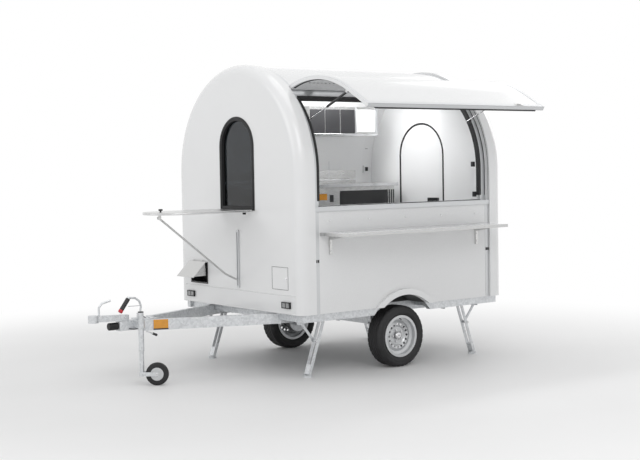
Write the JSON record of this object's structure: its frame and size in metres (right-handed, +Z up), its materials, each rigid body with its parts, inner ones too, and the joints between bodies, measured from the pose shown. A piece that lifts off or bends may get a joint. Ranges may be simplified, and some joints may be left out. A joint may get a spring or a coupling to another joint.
{
  "type": "food trailer",
  "caption": "Barrel-shaped catering trailer with a raised side hatch, outside shelf, front flap table, drawbar, jockey wheel and corner steadies.",
  "frame": {"origin": "on the ground under the middle of the whole object's box, with the hatch raised", "axes": "+X forward along the drawbar, +Y towards the serving side, +Z up"},
  "size_m": [4.07, 2.7416, 2.8398],
  "materials": {
    "white_gelcoat": "gloss",
    "white_panel": "gloss",
    "anodised": "satin",
    "floor_board": "matt",
    "black_plastic": "satin",
    "galvanised": "satin",
    "rubber": "matt",
    "glass": "clear",
    "stainless": "brushed",
    "clear_lens": "clear",
    "red_lens": "gloss",
    "tyre_rubber": "matt",
    "silver_steel": "satin",
    "cast_hub": "rough",
    "black_paint": "satin",
    "bright_steel": "polished"
  },
  "bodies": {
    "trailer": {"axle_tube": "galvanised", "chassis_rails": "galvanised", "coupling_bellows": "rubber", "coupling_handle": "galvanised", "coupling_head": "galvanised", "door_hinges": "stainless", "drawbar_beams": "galvanised", "extractor_hood": "stainless", "far_side_panel": "white_panel", "flap_hinges": "stainless", "flap_slide_rail": "anodised", "floor": "floor_board", "front_cap": "white_gelcoat", "handbrake_lever": "galvanised", "inlet_box": "black_plastic", "inlet_hinge": "stainless", "jockey_clamp": "galvanised", "kitchen_counter": "stainless", "marker_lamps": "clear_lens", "number_plate": "white_panel", "outside_shelf": "stainless", "overrun_housing": "galvanised", "rear_cap": "white_gelcoat", "rear_lamps": "red_lens", "roof_panel": "white_panel", "serving_frame": "anodised", "serving_side_panel": "white_panel", "serving_sill": "anodised", "serving_worktop": "black_plastic", "steady_brackets": "galvanised", "swing_arms": "galvanised", "wheel_arch_trims": "white_gelcoat", "wheel_wells": "black_plastic", "window_frame": "rubber", "window_glass": "glass"},
    "flap_stay": {"flap_strut": "stainless"},
    "flap": {"front_flap": "stainless"},
    "wheel_left": {"hub_left": "cast_hub", "rim_left": "silver_steel", "tyre_left": "tyre_rubber"},
    "wheel_right": {"hub_right": "cast_hub", "rim_right": "silver_steel", "tyre_right": "tyre_rubber"},
    "inlet_lid": {"inlet_flap": "stainless"},
    "jockey_fork": {"jockey_stem": "galvanised"},
    "jockey_roller": {"jockey_wheel": "tyre_rubber"},
    "door": {"rear_door": "white_gelcoat"},
    "hatch": {"serving_hatch": "white_panel"},
    "brace_front_left": {"steady_brace_front_left": "galvanised"},
    "brace_front_right": {"steady_brace_front_right": "galvanised"},
    "brace_rear_left": {"steady_brace_rear_left": "galvanised"},
    "brace_rear_right": {"steady_brace_rear_right": "galvanised"},
    "leg_front_left": {"steady_leg_front_left": "galvanised"},
    "leg_front_right": {"steady_leg_front_right": "galvanised"},
    "leg_rear_left": {"steady_leg_rear_left": "galvanised"},
    "leg_rear_right": {"steady_leg_rear_right": "galvanised"},
    "gas_cylinder_front": {"strut_cylinder_front": "black_paint"},
    "gas_cylinder_rear": {"strut_cylinder_rear": "black_paint"},
    "gas_rod_front": {"strut_rod_front": "bright_steel"},
    "gas_rod_rear": {"strut_rod_rear": "bright_steel"}
  },
  "joints": [
    {"name": "wheel_left_spin", "type": "hinge", "parent": "trailer", "child": "wheel_left", "pos_m": [-0.725, 0.483, 0.288], "axis": [0, 1, 0], "continuous": true},
    {"name": "wheel_right_spin", "type": "hinge", "parent": "trailer", "child": "wheel_right", "pos_m": [-0.725, -1.201, 0.288], "axis": [0, 1, 0], "continuous": true},
    {"name": "hatch_hinge", "type": "hinge", "parent": "trailer", "child": "hatch", "pos_m": [-0.755, 0.25718, 2.61742], "axis": [1, 0, 0], "range_deg": [-60.5, 0]},
    {"name": "gas_cylinder_front_hinge", "type": "hinge", "parent": "hatch", "child": "gas_cylinder_front", "pos_m": [0.219, 0.991, 2.53], "axis": [1, 0, 0], "range_deg": [-36.44, 0]},
    {"name": "gas_rod_front_slide", "type": "slide", "parent": "gas_cylinder_front", "child": "gas_rod_front", "axis": [0, 0.925, 0.3801], "range_m": [0, 0.2131]},
    {"name": "gas_cylinder_rear_hinge", "type": "hinge", "parent": "hatch", "child": "gas_cylinder_rear", "pos_m": [-1.729, 0.991, 2.53], "axis": [1, 0, 0], "range_deg": [-36.44, 0]},
    {"name": "gas_rod_rear_slide", "type": "slide", "parent": "gas_cylinder_rear", "child": "gas_rod_rear", "axis": [0, 0.925, 0.3801], "range_m": [0, 0.2131]},
    {"name": "flap_hinge", "type": "hinge", "parent": "trailer", "child": "flap", "pos_m": [0.52, -0.319, 1.494], "axis": [0, -1, 0], "range_deg": [0, 90]},
    {"name": "flap_stay_hinge", "type": "hinge", "parent": "flap", "child": "flap_stay", "pos_m": [1.339, -0.319, 1.453], "axis": [0, -1, 0], "range_deg": [-38.41, 0]},
    {"name": "inlet_lid_hinge", "type": "hinge", "parent": "trailer", "child": "inlet_lid", "pos_m": [0.513, -0.999, 0.995], "axis": [0, -1, 0], "range_deg": [-45, 60]},
    {"name": "door_hinge", "type": "hinge", "parent": "trailer", "child": "door", "pos_m": [-2.019, -0.812, 1.35], "axis": [0, 0, 1], "range_deg": [0, 110]},
    {"name": "jockey_swivel", "type": "hinge", "parent": "trailer", "child": "jockey_fork", "pos_m": [1.59, -0.241, 0.3], "axis": [0, 0, 1], "continuous": true},
    {"name": "jockey_wheel_spin", "type": "hinge", "parent": "jockey_fork", "child": "jockey_roller", "pos_m": [1.48586, -0.15667, 0.1], "axis": [-0.6293, -0.7771, 0], "continuous": true},
    {"name": "brace_front_left_hinge", "type": "hinge", "parent": "trailer", "child": "brace_front_left", "pos_m": [0.33, 0.421, 0.495], "axis": [0, 1, 0], "range_deg": [0, 41.02]},
    {"name": "leg_front_left_hinge", "type": "hinge", "parent": "brace_front_left", "child": "leg_front_left", "pos_m": [0.19, 0.421, 0.322], "axis": [0, 1, 0], "range_deg": [-94.52, 0]},
    {"name": "brace_front_right_hinge", "type": "hinge", "parent": "trailer", "child": "brace_front_right", "pos_m": [0.33, -1.139, 0.495], "axis": [0, 1, 0], "range_deg": [0, 41.02]},
    {"name": "leg_front_right_hinge", "type": "hinge", "parent": "brace_front_right", "child": "leg_front_right", "pos_m": [0.19, -1.139, 0.322], "axis": [0, 1, 0], "range_deg": [-94.52, 0]},
    {"name": "brace_rear_left_hinge", "type": "hinge", "parent": "trailer", "child": "brace_rear_left", "pos_m": [-1.84, 0.421, 0.495], "axis": [0, -1, 0], "range_deg": [0, 41.02]},
    {"name": "leg_rear_left_hinge", "type": "hinge", "parent": "brace_rear_left", "child": "leg_rear_left", "pos_m": [-1.7, 0.421, 0.322], "axis": [0, -1, 0], "range_deg": [-94.52, 0]},
    {"name": "brace_rear_right_hinge", "type": "hinge", "parent": "trailer", "child": "brace_rear_right", "pos_m": [-1.84, -1.139, 0.495], "axis": [0, -1, 0], "range_deg": [0, 41.02]},
    {"name": "leg_rear_right_hinge", "type": "hinge", "parent": "brace_rear_right", "child": "leg_rear_right", "pos_m": [-1.7, -1.139, 0.322], "axis": [0, -1, 0], "range_deg": [-94.52, 0]}
  ],
  "couplings": [
    {"joint": "gas_cylinder_front_hinge", "follows": "hatch_hinge", "ratio": 0.60231},
    {"joint": "gas_rod_front_slide", "follows": "hatch_hinge", "m_per_rad": -0.20134},
    {"joint": "gas_cylinder_rear_hinge", "follows": "hatch_hinge", "ratio": 0.60231},
    {"joint": "gas_rod_rear_slide", "follows": "hatch_hinge", "m_per_rad": -0.20134},
    {"joint": "flap_stay_hinge", "follows": "flap_hinge", "ratio": -0.42682},
    {"joint": "leg_front_left_hinge", "follows": "brace_front_left_hinge", "ratio": -2.3039},
    {"joint": "leg_front_right_hinge", "follows": "brace_front_right_hinge", "ratio": -2.3039},
    {"joint": "leg_rear_left_hinge", "follows": "brace_rear_left_hinge", "ratio": -2.3039},
    {"joint": "leg_rear_right_hinge", "follows": "brace_rear_right_hinge", "ratio": -2.3039}
  ]
}
